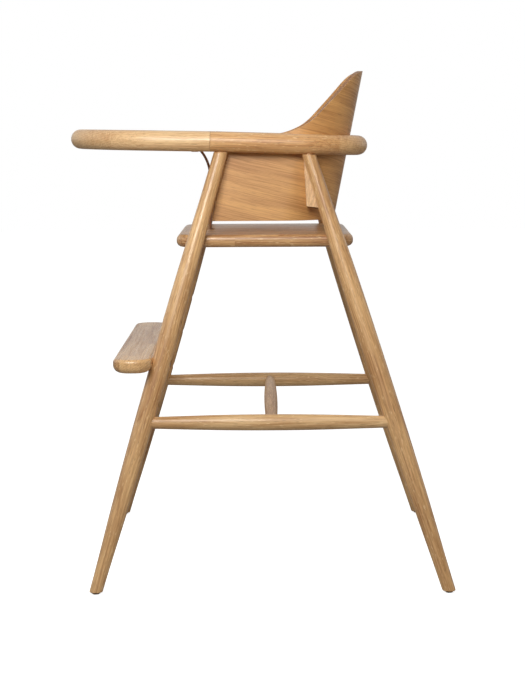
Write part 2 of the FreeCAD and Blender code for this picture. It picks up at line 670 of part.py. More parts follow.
def build():
    """Returns {node name: shape} for every piece of the chair."""
    nodes = {}
    shell = back_shell()
    cross = cross_stretcher()
    stretcher = side_stretcher()
    screws = [arm_screw(y) for y in ARM_SCREW_Y] + [back_screw()]
    leg_screws = [spacer_screw(z) for z in SPACER_SCREW_Z]

    heights = [FOOTREST_Z + step * HEIGHT_STEP for step in (-1, 0, 1)]
    legs = {}
    for row in LEG_TOP_Y:
        leg = leg_blank(row)
        tools = [leg_top_dowel(row), seat_dowel(row), stretcher]
        tools += [leg_bolt_hole(z) for z in heights] if row == "front" else leg_screws
        for tool in tools:
            leg = leg.cut(tool)
        legs[row] = leg

    rear_rail = u_rail(TRAY_JOINT_Y + TRAY_GAP, BACK_Y, BACK_CORNER)
    bow_dowel = tilted(bend_dowel(BOW_JOINT_Y, BACK_Y, BACK_CORNER), ARM_SLOPE)
    arm = tilted(part_between(rear_rail, (0, REACH), (-REACH, BOW_JOINT_Y)), ARM_SLOPE)
    bow = tilted(part_between(rear_rail, (-REACH, REACH), (BOW_JOINT_Y, REACH)), ARM_SLOPE)
    top_dowels = [leg_top_dowel(row) for row in legs]
    for tool in top_dowels + screws + [bow_dowel, tilted(bush_bore(), TRAY_SLOPE), shell]:
        arm = arm.cut(tool)
    for tool in (bow_dowel, mirrored(bow_dowel), screws[-1], mirrored(screws[-1]), shell):
        bow = bow.cut(tool)

    tray_rim = u_rail(TRAY_JOINT_Y, FRONT_Y, FRONT_CORNER)
    panel = tray_panel()
    front_dowel = bend_dowel(FRONT_JOINT_Y, FRONT_Y, FRONT_CORNER)
    tray_side = part_between(tray_rim, (0, REACH), (FRONT_JOINT_Y, REACH)).cut(panel)
    tray_bow = part_between(tray_rim, (-REACH, REACH), (-REACH, FRONT_JOINT_Y)).cut(panel)
    for tool in (tray_pin(), front_dowel, rail_dowel()):
        tray_side = tray_side.cut(tool)
    for tool in (front_dowel, mirrored(front_dowel)):
        tray_bow = tray_bow.cut(tool)
    plain_side = part_between(tray_rim, (0, REACH), (FRONT_JOINT_Y, REACH))
    rail_tools = [plain_side, mirrored(plain_side), panel, rail_dowel(), mirrored(rail_dowel())]
    tray_rail = tray_rear_rail(rail_tools)

    spacer = spacer_block(leg_blank("rear"))
    for tool in leg_screws:
        spacer = spacer.cut(tool)
    holed_shell = shell
    for tool in screws + leg_screws:
        holed_shell = holed_shell.cut(tool).cut(mirrored(tool))

    left_pieces = {
        "leg_front": legs["front"],
        "leg_rear": legs["rear"],
        "glide_front": glide("front"),
        "glide_rear": glide("rear"),
        "side_stretcher": stretcher.cut(cross),
        "arm": arm,
        "spacer_block": spacer,
        "tray_side": tilted(tray_side, TRAY_SLOPE),
        "tray_pin": tilted(tray_pin(), TRAY_SLOPE),
        "tray_bush": tilted(tray_bush(), TRAY_SLOPE),
    }
    for name, shape in left_pieces.items():
        nodes[name + "_left"] = shape
        nodes[name + "_right"] = mirrored(shape)

    paired = {
        "leg_top_dowels": top_dowels,
        "seat_dowels": [seat_dowel(row) for row in legs],
        "bow_dowels": [bow_dowel],
        "tray_bow_dowels": [tilted(front_dowel, TRAY_SLOPE)],
        "tray_rail_dowels": [tilted(rail_dowel(), TRAY_SLOPE)],
        "shell_screws": screws,
        "spacer_screws": leg_screws,
        "footrest_bolts": [footrest_bolt()],
        "footrest_inserts": [footrest_insert()],
    }
    for name, shapes in paired.items():
        nodes[name] = group(shapes + [mirrored(shape) for shape in shapes])

    both_legs = [leg_blank(row) for row in legs]
    both_legs += [mirrored(leg) for leg in both_legs]
    both_dowels = [seat_dowel(row) for row in legs]
    both_dowels += [mirrored(dowel) for dowel in both_dowels]
    nodes.update({
        "cross_stretcher": cross,
        "back_bow": bow,
        "back_shell": holed_shell,
        "seat_board": seat_board(both_legs, both_dowels),
        "strap_pin": strap_pin(),
        "tray_bow": tilted(tray_bow, TRAY_SLOPE),
        "tray_rear_rail": tilted(tray_rail, TRAY_SLOPE).cut(tray_stud()),
        "tray_panel": tilted(panel, TRAY_SLOPE),
        "tray_stud": tray_stud(),
        "crotch_strap": strap(),
        "strap_snap": strap_snap(),
        "footrest_board": footrest_board(),
    })
    return nodes


os.makedirs("parts", exist_ok=True)
for node_name, node_shape in build().items():
    solids = [solid for solid in node_shape.Solids]
    good = all(solid.isValid() for solid in solids)
    print(f"{node_name}: {len(solids)} solid(s), valid {good}, volume {node_shape.Volume:.0f}")
    node_shape.exportStep(f"parts/{node_name}.step")
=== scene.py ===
import json
import math
import random
import bmesh
import bpy
from mathutils import Euler, Matrix, Vector


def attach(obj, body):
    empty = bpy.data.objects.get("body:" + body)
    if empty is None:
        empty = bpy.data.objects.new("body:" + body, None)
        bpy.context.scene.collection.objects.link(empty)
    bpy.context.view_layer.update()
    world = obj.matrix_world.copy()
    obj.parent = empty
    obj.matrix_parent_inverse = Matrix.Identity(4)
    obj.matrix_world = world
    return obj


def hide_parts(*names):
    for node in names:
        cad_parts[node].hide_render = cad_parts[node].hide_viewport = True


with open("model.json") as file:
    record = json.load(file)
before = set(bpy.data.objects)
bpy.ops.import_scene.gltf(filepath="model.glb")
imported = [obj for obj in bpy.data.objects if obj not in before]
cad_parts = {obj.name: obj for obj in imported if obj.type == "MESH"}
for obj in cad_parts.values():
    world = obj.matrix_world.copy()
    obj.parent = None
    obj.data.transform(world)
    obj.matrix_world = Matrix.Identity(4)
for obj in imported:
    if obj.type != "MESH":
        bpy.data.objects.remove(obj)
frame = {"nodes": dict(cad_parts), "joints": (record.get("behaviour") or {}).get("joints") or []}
NODES = frame["nodes"]
JOINTS = {joint["name"]: joint for joint in frame["joints"]}
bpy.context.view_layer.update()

# Lengths are in metres. +Z is up, the child faces -Y, and +X is the child's left.
SIDES = {"left": 1, "right": -1}
ACROSS = (1, 0, 0)
LENGTHWAYS = (0, 1, 0)
UPRIGHT = (0, 0, 1)


# ---------------------------------------------------------------- shader nodes

class Net:
    """Adds nodes to a shader tree and joins them up."""

    def __init__(self, tree):
        self.tree = tree
        tree.nodes.clear()

    def put(self, socket, value):
        """Links another node's output to a socket, or sets a constant value on it."""
        if isinstance(value, bpy.types.NodeSocket):
            self.tree.links.new(value, socket)
        else:
            socket.default_value = value

    def add(self, kind, inputs=None, **settings):
        node = self.tree.nodes.new("ShaderNode" + kind)
        for name, value in settings.items():
            setattr(node, name, value)
        for key, value in (inputs or {}).items():
            self.put(node.inputs[key], value)
        return node

    def place(self):
        """The point's place in the chair's own frame."""
        return self.add("TexCoord").outputs["Object"]

    def math(self, operation, a, b=0.0, c=0.0):
        return self.add("Math", {0: a, 1: b, 2: c}, operation=operation).outputs[0]

    def plus(self, a, b):
        return self.math("ADD", a, b)

    def minus(self, a, b):
        return self.math("SUBTRACT", a, b)

    def times(self, a, b):
        return self.math("MULTIPLY", a, b)

    def vector(self, operation, a, b):
        return self.add("VectorMath", {0: a, 1: b}, operation=operation).outputs["Vector"]

    def scaled(self, vector, scale):
        return self.vector("MULTIPLY", vector, scale)

    def noise(self, vector, scale, detail=2.0, rough=0.5):
        """Noise of a vector that is first stretched by scale = (x, y, z), in waves per metre."""
        inputs = {"Vector": self.scaled(vector, scale), "Scale": 1.0, "Detail": detail, "Roughness": rough}
        return self.add("TexNoise", inputs).outputs["Fac"]

    def ramp(self, value, low, high, to_low=0.0, to_high=1.0):
        """A smooth step from to_low to to_high as value goes from low to high."""
        inputs = {"Value": value, "From Min": low, "From Max": high, "To Min": to_low, "To Max": to_high}
        return self.add("MapRange", inputs, interpolation_type="SMOOTHSTEP").outputs["Result"]

    def mix(self, amount, a, b):
        """Colour a, turning to colour b as amount goes from 0 to 1."""
        node = self.add("Mix", data_type="RGBA")
        amount_socket, a_socket, b_socket = node.inputs[0], node.inputs[6], node.inputs[7]
        self.put(amount_socket, amount)
        self.put(a_socket, a)
        self.put(b_socket, b)
        return node.outputs[2]

    def surface(self, inputs, height, depth, strength, normal=None):
        """The principled shader with a bump on top of an optional normal, joined to the output."""
        bump = self.add("Bump", {"Height": height, "Distance": depth, "Strength": strength})
        if normal is not None:
            self.put(bump.inputs["Normal"], normal)
        shader = self.add("BsdfPrincipled", dict(inputs, Normal=bump.outputs[0]))
        self.add("OutputMaterial", {"Surface": shader.outputs[0]})


def material(name):
    made = bpy.data.materials.new(name)
    made.use_nodes = True
    return made, Net(made.node_tree)


def srgb(red, green, blue):
    """A linear colour from 0-255 screen values."""
    def linear(value):
        value /= 255
        return value / 12.92 if value <= 0.04045 else ((value + 0.055) / 1.055) ** 2.4
    return (linear(red), linear(green), linear(blue), 1.0)


def soft_edges(net, radius=0.0007):
    """A normal with rounded edges, and a mask that is 1 along those edges."""
    rounded = net.add("Bevel", {"Radius": radius}, samples=4).outputs[0]
    plain = net.add("NewGeometry").outputs["Normal"]
    same = net.add("VectorMath", {0: rounded, 1: plain}, operation="DOT_PRODUCT").outputs["Value"]
    return rounded, net.ramp(same, 0.9, 0.995, 1.0, 0.0)


# ---------------------------------------------------------------- solid oak

OAK = (srgb(236, 193, 137), srgb(162, 109, 60))        # the wood between its streaks, and in them
OAK_PORE = srgb(116, 70, 36)
OAK_FLECK = srgb(246, 216, 166)
# painted highlight along the edges of the oak, with some edge wear
OAK_EDGE_HIGHLIGHT_AND_WEAR = srgb(214, 172, 122)
RING_WIDTH = 0.0036
RING_WANDER = 0.02
STAVE_ORIGIN = 10.013              # keeps the count of staves above zero, with a joint off the middle
STAVE_STAGGER = 0.37               # share of a stave's length between the butt joints of neighbours
STAVE_FIRST = 0.568
STAVE_COUNT = 13.0                 # more staves than one row has, so that each one's number is its own
STAVE_JUMP = (0.05, 0.05, 0.9)     # how far apart in the tree two staves may be cut


def cut_into_staves(net, place, spot, axis, width, length):
    """Moves spot to another piece of the tree in each stave, and gives each stave a number from 0 to 1."""
    axes = net.add("SeparateXYZ", {0: place})
    stave = net.math("FLOOR", net.math("DIVIDE", net.plus(axes.outputs[axis], STAVE_ORIGIN), width))
    stagger = net.math("MULTIPLY_ADD", stave, STAVE_STAGGER, STAVE_FIRST)
    run = net.math("FLOOR", net.plus(net.math("DIVIDE", axes.outputs[1 - axis], length), stagger))
    index = net.math("MULTIPLY_ADD", stave, STAVE_COUNT, run)
    own = net.add("TexWhiteNoise", {"W": index}, noise_dimensions="1D")
    spot = net.vector("ADD", spot, net.scaled(own.outputs["Color"], STAVE_JUMP))
    return spot, own.outputs["Value"]


def growth_rings(net, spot, heart):
    """Where a point lies in its growth ring, from 0 to 1, and how much of it is dark late wood."""
    waves = net.add("TexNoise", {"Vector": net.scaled(spot, (16, 16, 4.5)), "Scale": 1.0, "Detail": 2.0})
    bend = net.vector("SUBTRACT", waves.outputs["Color"], (0.5, 0.5, 0.5))
    bent = net.vector("ADD", net.scaled(bend, (RING_WANDER, RING_WANDER, 0.0)), spot)
    flat = net.scaled(bent, (1, 1, 0))
    from_heart = net.vector("ADD", flat, (*heart, 0))
    reach = net.add("VectorMath", {0: from_heart}, operation="LENGTH").outputs["Value"]
    ring = net.math("FRACT", net.math("DIVIDE", reach, RING_WIDTH))
    late = net.math("POWER", net.math("PINGPONG", net.times(ring, 2.0), 1.0), 1.6)
    return ring, late


def oak(name, grain, seed, tones=OAK, heart=None, staves=None, gloss=0.5):
    """Lacquered solid oak with its fibres along grain: growth rings, streaks, pores and ray flecks.

    heart = (x, y) is how far the frame's origin stands from the middle of the tree, across the grain.
    staves = (axis, width, length) glues a board up from staves, counted along that axis."""
    made, net = material(name)
    chance = random.Random(seed)
    turn = Vector(grain).rotation_difference(Vector(UPRIGHT)).to_euler()
    shift = [0.0, 0.0, chance.uniform(-0.5, 0.5)]
    heart = heart or (chance.uniform(0.05, 0.09), chance.uniform(-0.04, 0.04))
    place = net.place()
    spot = net.add("Mapping", {"Vector": place, "Rotation": turn, "Location": shift}).outputs[0]
    if staves:
        spot, stave_tone = cut_into_staves(net, place, spot, *staves)

    ring, late = growth_rings(net, spot, heart)
    tone = net.noise(spot, (22, 22, 5.0))
    streak = net.noise(spot, (330, 330, 12), 3.0, 0.6)
    pores = net.ramp(net.noise(spot, (1100, 1100, 60), 1.0), 0.56, 0.72)
    band = net.times(pores, net.ramp(ring, 0.15, 0.75, 1.0, 0.35))
    fleck = net.ramp(net.noise(spot, (110, 560, 90), 1.0), 0.62, 0.74)

    shade = net.plus(net.times(late, 0.26), net.times(net.ramp(streak, 0.3, 0.7), 0.5))
    shade = net.plus(shade, net.ramp(tone, 0.25, 0.75, -0.15, 0.38))
    if staves:
        shade = net.plus(shade, net.ramp(stave_tone, 0.0, 1.0, -0.18, 0.22))
    rounded, edge = soft_edges(net)
    colour = net.mix(shade, *tones)
    colour = net.mix(net.times(band, 0.6), colour, OAK_PORE)
    colour = net.mix(net.times(fleck, 0.55), colour, OAK_FLECK)
    # painted highlight along the wood's edges, with some edge wear
    colour = net.mix(net.times(edge, 0.3), colour, OAK_EDGE_HIGHLIGHT_AND_WEAR)
    rough = net.ramp(net.plus(streak, net.times(band, 0.5)), 0.3, 1.2, 0.46, 0.64)
    height = net.minus(net.times(streak, 0.3), band)
    looks = {"Base Color": colour, "Roughness": rough, "IOR": 1.5, "Coat Weight": gloss,
             "Coat Roughness": net.ramp(streak, 0.3, 0.75, 0.24, 0.42), "Coat IOR": 1.5}
    net.surface(looks, height, 0.00014, 0.4, rounded)
    return made


# ---------------------------------------------------------------- bent plywood

SHELL_BOTTOM = 0.582
SHELL_HALF = 0.1435                # half width at the bottom
SHELL_TAPER = 0.0965               # half width lost per metre of height
SHELL_BACK = 0.1283                # back face at the bottom
SHELL_LEAN = 0.2015                # backward lean per metre of height
SHELL_CORNER = 0.088               # radius of the U's corners
SHELL_THICKNESS = 0.009
LAYER = 0.0015
FACE_VENEER = (0.0004, 0.0007)     # depth at which the face veneer starts to end, and has ended
VENEER_SLOPE = 0.24                # how steeply the veneer's lines rise away from the middle of the back
VENEER_ROUND = 0.003               # rounds the lines off in the middle, in square metres
VENEER_WAVE = 0.006                # height of the slow waves in the lines

VENEER_LIGHT = srgb(222, 169, 105)
VENEER_DARK = srgb(146, 91, 45)
VENEER_PORE = srgb(116, 70, 38)
LAYER_LIGHT = srgb(184, 132, 78)
LAYER_DARK = srgb(124, 76, 38)
LAYER_FIBRE = srgb(108, 66, 34)
# painted highlight along the ply's edges
VENEER_EDGE_HIGHLIGHT = srgb(236, 196, 140)


def round_the_shell(net, x, y, z):
    """How far a point of the shell is from the middle of the back, along the U, and how deep in the ply."""
    rise = net.minus(z, SHELL_BOTTOM)
    centre_x = net.math("MULTIPLY_ADD", rise, -SHELL_TAPER, SHELL_HALF - SHELL_CORNER)
    centre_y = net.math("MULTIPLY_ADD", rise, SHELL_LEAN, SHELL_BACK - SHELL_CORNER)
    past_x = net.minus(net.math("ABSOLUTE", x), centre_x)
    past_y = net.minus(y, centre_y)
    round_x = net.math("MAXIMUM", past_x, 0.0)
    round_y = net.math("MAXIMUM", past_y, 0.0)
    reach = net.math("SQRT", net.plus(net.math("POWER", round_x, 2.0), net.math("POWER", round_y, 2.0)))
    depth = net.minus(SHELL_CORNER, reach)
    turn = net.times(net.math("ARCTAN2", round_y, round_x), SHELL_CORNER)
    travel = net.plus(turn, net.math("MINIMUM", past_y, 0.0))
    travel = net.minus(travel, net.math("MINIMUM", past_x, 0.0))
    half = net.plus(centre_x, SHELL_CORNER * math.pi / 2)
    along = net.times(net.math("SIGN", x), net.minus(half, travel))
    return along, depth


def bent_plywood(name):
    """Oak-faced plywood bent to a U: veneer with its grain round the bend, and layers on the edges."""
    made, net = material(name)
    place = net.place()
    axes = net.add("SeparateXYZ", {0: place})
    x, y, z = axes.outputs["X"], axes.outputs["Y"], axes.outputs["Z"]
    along, depth = round_the_shell(net, x, y, z)
    away = net.math("SQRT", net.math("MULTIPLY_ADD", along, along, VENEER_ROUND))
    level = net.minus(z, net.times(away, VENEER_SLOPE))
    spot = net.add("CombineXYZ", {0: along, 1: level, 2: net.times(depth, 0.2)}).outputs[0]
    waves = net.noise(spot, (9, 30, 1))
    level = net.plus(level, net.times(waves, VENEER_WAVE))
    spot = net.add("CombineXYZ", {0: along, 1: level, 2: 0.0}).outputs[0]

    line = net.ramp(net.noise(spot, (9, 480, 1)), 0.36, 0.66)
    broad = net.ramp(net.noise(spot, (5, 45, 1)), 0.3, 0.7)
    pores = net.ramp(net.noise(spot, (60, 1200, 1), 1.0), 0.56, 0.7)
    shade = net.plus(net.times(line, 0.34), net.times(broad, 0.36))
    face = net.mix(shade, VENEER_LIGHT, VENEER_DARK)
    face = net.mix(net.times(pores, 0.28), face, VENEER_PORE)

    layer = net.math("PINGPONG", net.math("DIVIDE", depth, LAYER), 1.0)
    fibre = net.noise(place, (160, 160, 420))
    layers = net.mix(net.ramp(layer, 0.35, 0.65), LAYER_LIGHT, LAYER_DARK)
    layers = net.mix(net.ramp(fibre, 0.4, 0.7, 0.0, 0.4), layers, LAYER_FIBRE)
    starts, ended = FACE_VENEER
    past_outer = net.ramp(depth, starts, ended)
    before_inner = net.ramp(depth, SHELL_THICKNESS - ended, SHELL_THICKNESS - starts, 1.0, 0.0)
    colour = net.mix(net.times(past_outer, before_inner), face, layers)
    rounded, edge = soft_edges(net, 0.001)
    # painted highlight along the ply's edges
    colour = net.mix(net.times(edge, 0.6), colour, VENEER_EDGE_HIGHLIGHT)
    height = net.plus(net.times(line, -0.5), net.times(pores, -0.6))
    looks = {"Base Color": colour, "Roughness": net.ramp(line, 0.0, 1.0, 0.44, 0.58), "IOR": 1.5,
             "Coat Weight": 0.35, "Coat Roughness": 0.28}
    net.surface(looks, height, 0.0001, 0.35, rounded)
    return made


# ---------------------------------------------------------------- the other materials

METAL_EDGE_HIGHLIGHT = 35                   # painted highlight: how much brighter a metal's edges are painted, in screen values

PLASTIC = srgb(58, 52, 46)
PLASTIC_SCUFF = srgb(104, 96, 86)
# a paler colour mixed in along the edges
PLASTIC_EDGE = srgb(120, 112, 102)

LEATHER_LIGHT = srgb(158, 104, 62)
LEATHER_DARK = srgb(112, 68, 38)
LEATHER_PIT = srgb(78, 46, 26)
LEATHER_CREASE = srgb(176, 122, 78)
LEATHER_CUT = srgb(118, 74, 42)
LEATHER_CUT_FROM = 0.0108          # distance from the strap's middle where the cut edge's colour starts
LEATHER_CUT_FULL = 0.0117

THREAD_LIGHT = srgb(196, 162, 116)
THREAD_DARK = srgb(128, 92, 58)


def metal(name, base, worn, rough, brush):
    """Brushed metal with its scratches stretched by brush = (x, y, z), in waves per metre."""
    made, net = material(name)
    place = net.place()
    scratch = net.noise(place, brush, 3.0, 0.6)
    cloud = net.noise(place, (260, 260, 260), 3.0)
    rounded, edge = soft_edges(net, 0.0004)
    edge_highlight = [min(255, value + METAL_EDGE_HIGHLIGHT) for value in base]
    colour = net.mix(net.ramp(cloud, 0.4, 0.75, 0.0, 0.5), srgb(*base), srgb(*worn))
    # painted highlight along the metal's edges
    colour = net.mix(net.times(edge, 0.5), colour, srgb(*edge_highlight))
    brushed = net.ramp(scratch, 0.2, 0.8, rough, rough + 0.2)
    looks = {"Base Color": colour, "Metallic": 1.0, "Roughness": brushed, "Anisotropic": 0.4}
    net.surface(looks, scratch, 0.00005, 0.5, rounded)
    return made


def hard_plastic(name):
    """Dark moulded plastic with a fine grain, scuffed, and paler along its edges."""
    made, net = material(name)
    place = net.place()
    grain = net.noise(place, (2200, 2200, 2200))
    scuff = net.ramp(net.noise(place, (300, 300, 900), 3.0), 0.5, 0.75)
    rounded, edge = soft_edges(net, 0.0005)
    colour = net.mix(net.times(scuff, 0.6), PLASTIC, PLASTIC_SCUFF)
    # paler along the edges, by the edge mask
    colour = net.mix(net.times(edge, 0.4), colour, PLASTIC_EDGE)
    looks = {"Base Color": colour, "Roughness": net.ramp(grain, 0.3, 0.7, 0.45, 0.65)}
    net.surface(looks, grain, 0.00005, 0.4, rounded)
    return made


def leather(name):
    """Waxed brown leather: pebbled grain with dark pits, pale creases and darker cut edges."""
    made, net = material(name)
    place = net.place()
    cells = net.add("TexVoronoi", {"Vector": place, "Scale": 900.0}, feature="DISTANCE_TO_EDGE")
    pebble = net.ramp(cells.outputs["Distance"], 0.0, 0.18)
    crease = net.ramp(net.noise(place, (60, 300, 300), 4.0, 0.6), 0.52, 0.68)
    cloud = net.noise(place, (70, 90, 60), 3.0)
    colour = net.mix(net.ramp(cloud, 0.3, 0.7), LEATHER_LIGHT, LEATHER_DARK)
    colour = net.mix(net.ramp(pebble, 0.0, 1.0, 0.5, 0.0), colour, LEATHER_PIT)
    colour = net.mix(net.times(crease, 0.35), colour, LEATHER_CREASE)
    across = net.math("ABSOLUTE", net.add("SeparateXYZ", {0: place}).outputs["X"])
    colour = net.mix(net.ramp(across, LEATHER_CUT_FROM, LEATHER_CUT_FULL, 0.0, 0.6), colour, LEATHER_CUT)
    height = net.minus(pebble, net.times(crease, 0.7))
    looks = {"Base Color": colour, "Roughness": net.ramp(cloud, 0.2, 0.8, 0.42, 0.6), "Sheen Weight": 0.12,
             "Coat Weight": 0.15, "Coat Roughness": 0.3}
    net.surface(looks, height, 0.00018, 0.6)
    return made


def thread(name):
    """Twisted linen thread."""
    made, net = material(name)
    twist = net.add("TexWave", {"Vector": net.place(), "Scale": 900.0, "Distortion": 0.4}, wave_type="BANDS",
                    bands_direction="DIAGONAL").outputs["Fac"]
    colour = net.mix(twist, THREAD_LIGHT, THREAD_DARK)
    looks = {"Base Color": colour, "Roughness": net.ramp(twist, 0.0, 1.0, 0.6, 0.8), "Sheen Weight": 0.3}
    net.surface(looks, twist, 0.0001, 0.6)
    return made


# ---------------------------------------------------------------- leather strap

_, STRAP_Y, STRAP_PIN_Z = JOINTS["strap_swing"]["pos_m"]
STRAP_HALF = 0.01198               # half width, a hair inside the CAD strap's
STRAP_THICK = 0.0034
STRAP_HOLLOW = 0.0001              # how far the middle of the strap's faces is sunk
STRAP_EDGE_ROUND = 0.0011
STRAP_EDGE_STEPS = 3

STRAP_START = 0.0036               # the flat strap starts this far above the middle of the pin
STRAP_BEND_Z = 0.651
STRAP_BEND = 0.066                 # radius of the gentle bend forward
STRAP_LEAN = math.radians(38)
STRAP_FOLD = 0.004                 # radius of the fold under the tray's rail
STRAP_TOP_Z = 0.69551              # middle of the level end
STRAP_END_Y = -0.1174
STRAP_BEND_LEAD = 0.002            # the upright stretch is divided down to this far below the bend
UPRIGHT_STEPS = 24
LEANING_STEPS = 6
LEVEL_STEPS = 10
ARC_STEPS = 10

EYE_RADIUS = 0.00364               # middle of the leather that goes round the pin
EYE_THICK = 0.003
EYE_STEPS = 24

STITCH_PITCH = 0.0042
STITCH_ACROSS = 0.0092             # from the strap's middle to a row of stitches
STITCH_FIRST = 0.010               # from the strap's start to the first stitch
STITCH_SPARE = 0.014               # about the length left without stitches at both ends together
STITCH_HALF = 0.0015               # half of a stitch's length
STITCH_DIVE = 0.00025              # how far its ends sink into the leather
STITCH_INSET = 0.00005             # how deep the middle of a stitch lies under the strap's face
# a stitch's sections: (place along it, from -1 at one end to 1 at the other, radius)
STITCH_SECTIONS = ((-1.0, 0.00012), (-0.8, 0.0003), (0.0, 0.00036), (0.8, 0.0003), (1.0, 0.00012))
STITCH_SIDES = 6


def strap_line():
    """(place, forward direction) along the middle of the strap, from its pin to its tip."""
    points = []

    def arc(centre, radius, first, last):
        for step in range(ARC_STEPS + 1):
            angle = first + (last - first) * step / ARC_STEPS
            y = centre[0] + radius * math.cos(angle)
            z = centre[1] + radius * math.sin(angle)
            points.append(Vector((0, y, z)))

    def run(target, count):
        start = points[-1]
        for step in range(1, count + 1):
            points.append(start.lerp(Vector((0, *target)), step / count))

    points.append(Vector((0, STRAP_Y, STRAP_PIN_Z + STRAP_START)))
    run((STRAP_Y, STRAP_BEND_Z - STRAP_BEND_LEAD), UPRIGHT_STEPS)
    arc((STRAP_Y - STRAP_BEND, STRAP_BEND_Z), STRAP_BEND, 0, STRAP_LEAN)
    low = points[-1]
    fold_rise = STRAP_FOLD * (1 - math.sin(STRAP_LEAN))
    rise = STRAP_TOP_Z - fold_rise - low.z
    run((low.y - rise * math.tan(STRAP_LEAN), low.z + rise), LEANING_STEPS)
    end = points[-1]
    centre = (end.y - STRAP_FOLD * math.cos(STRAP_LEAN), end.z - STRAP_FOLD * math.sin(STRAP_LEAN))
    del points[-1]
    arc(centre, STRAP_FOLD, STRAP_LEAN, math.pi / 2)
    run((STRAP_END_Y, STRAP_TOP_Z), LEVEL_STEPS)
    ways = [(b - a).normalized() for a, b in zip(points, points[1:])]
    ways.append(ways[-1])
    return [(p, (ways[max(0, i - 1)] + ways[i]).normalized()) for i, p in enumerate(points)]


def outward(way):
    """The direction out of the strap's face, for a line that goes along way in the plane x = 0."""
    return Vector((0, way.z, -way.y))


def band_section(half, thick):
    """(across, out) points of a strap's section, with rounded edges and a slightly sunk middle."""
    points = []
    for sx, sy in ((1, 1), (-1, 1), (-1, -1), (1, -1)):
        turns = range(STRAP_EDGE_STEPS + 1)
        for k in turns if sx == sy else reversed(turns):
            angle = math.pi / 2 * k / STRAP_EDGE_STEPS
            points.append((sx * (half - STRAP_EDGE_ROUND + STRAP_EDGE_ROUND * math.cos(angle)),
                           sy * (thick / 2 - STRAP_EDGE_ROUND + STRAP_EDGE_ROUND * math.sin(angle))))
        if sx == sy:
            points.append((0.0, sy * (thick / 2 - STRAP_HOLLOW)))
    return points


def skin(shape, rings, closed=False):
    """Joins each ring of points to the next, and closes both ends unless the rings go round in a loop."""
    pairs = list(zip(rings, rings[1:]))
    if closed:
        pairs.append((rings[-1], rings[0]))
    count = len(rings[0])
    for first, second in pairs:
        for k in range(count):
            after = (k + 1) % count
            shape.faces.new((first[k], first[after], second[after], second[k]))
    if not closed:
        shape.faces.new(rings[0])
        shape.faces.new(list(reversed(rings[-1])))


def sweep(shape, line, section, closed=False):
    """Skins a section along a line of (place, direction) that lies in the plane x = 0."""
    rings = []
    for place, way in line:
        out = outward(way)
        spots = [place + Vector((across, 0, 0)) + out * rise for across, rise in section]
        rings.append([shape.verts.new(spot) for spot in spots])
    skin(shape, rings, closed)


def finished(name, shape, made, body):
    """Turns a bmesh into a smooth piece with one material that rides on a body."""
    bmesh.ops.recalc_face_normals(shape, faces=shape.faces)
    mesh = bpy.data.meshes.new(name)
    shape.to_mesh(mesh)
    shape.free()
    for polygon in mesh.polygons:
        polygon.use_smooth = True
    mesh.set_sharp_from_angle(angle=math.radians(50))
    mesh.materials.append(made)
    piece = bpy.data.objects.new(name, mesh)
    bpy.context.scene.collection.objects.link(piece)
    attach(piece, body)
    return piece


def point_at(line, travel, distance):
    """The (place, direction) at a distance along a line. travel is the distance to each of its points."""
    k = next(k for k in range(1, len(travel)) if travel[k] >= distance)
    share = (distance - travel[k - 1]) / (travel[k] - travel[k - 1])
    (before, way_before), (after, way_after) = line[k - 1:k + 1]
    return before.lerp(after, share), way_before.lerp(way_after, share).normalized()


def stitch(shape, middle, way, out):
    """One stitch: a short rounded rod along way, with its ends sunk into the face that points out."""
    rings = []
    front = outward(way)
    for share, radius in STITCH_SECTIONS:
        hub = middle + way * share * STITCH_HALF - out * STITCH_DIVE * share * share
        ring = []
        for k in range(STITCH_SIDES):
            angle = k * math.pi / 3
            ring.append(shape.verts.new(hub + Vector((radius * math.cos(angle), 0, 0))
                                        + front * radius * math.sin(angle)))
        rings.append(ring)
    skin(shape, rings)


def stitching(line):
    """Two rows of stitches on both faces of the strap."""
    shape = bmesh.new()
    travel = [0.0]
    for (a, _), (b, _) in zip(line, line[1:]):
        travel.append(travel[-1] + (b - a).length)
    for number in range(int((travel[-1] - STITCH_SPARE) / STITCH_PITCH)):
        place, way = point_at(line, travel, STITCH_FIRST + STITCH_PITCH * number)
        for across in (-STITCH_ACROSS, STITCH_ACROSS):
            for face in (-1, 1):
                out = outward(way) * face
                middle = place + Vector((across, 0, 0)) + out * (STRAP_THICK / 2 - STITCH_INSET)
                stitch(shape, middle, way, out)
    finished("strap_stitching", shape, thread("linen_thread"), "strap")


def strap():
    """The leather strap, with its eye round the pin in the seat, in place of the CAD's plain one."""
    shape = bmesh.new()
    line = strap_line()
    sweep(shape, line, band_section(STRAP_HALF, STRAP_THICK))
    eye = []
    for step in range(EYE_STEPS):
        angle = 2 * math.pi * step / EYE_STEPS
        y = STRAP_Y + EYE_RADIUS * math.cos(angle)
        z = STRAP_PIN_Z + EYE_RADIUS * math.sin(angle)
        eye.append((Vector((0, y, z)), Vector((0, -math.sin(angle), math.cos(angle)))))
    sweep(shape, eye, band_section(STRAP_HALF, EYE_THICK), closed=True)
    brown = leather("brown_leather_detailed")
    piece = finished("crotch_strap_leather", shape, brown, "strap")
    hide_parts("crotch_strap")
    stitching(line)


# ---------------------------------------------------------------- camera, light, floor

CAMERA_PLACE = (2.8, 0.008, 0.7301)
CAMERA_LENS = 84.31                # millimetres, as is the sensor
CAMERA_SENSOR = 36.0
CAMERA_PITCH = math.radians(7.693)
CAMERA_ROLL = math.radians(-0.291)

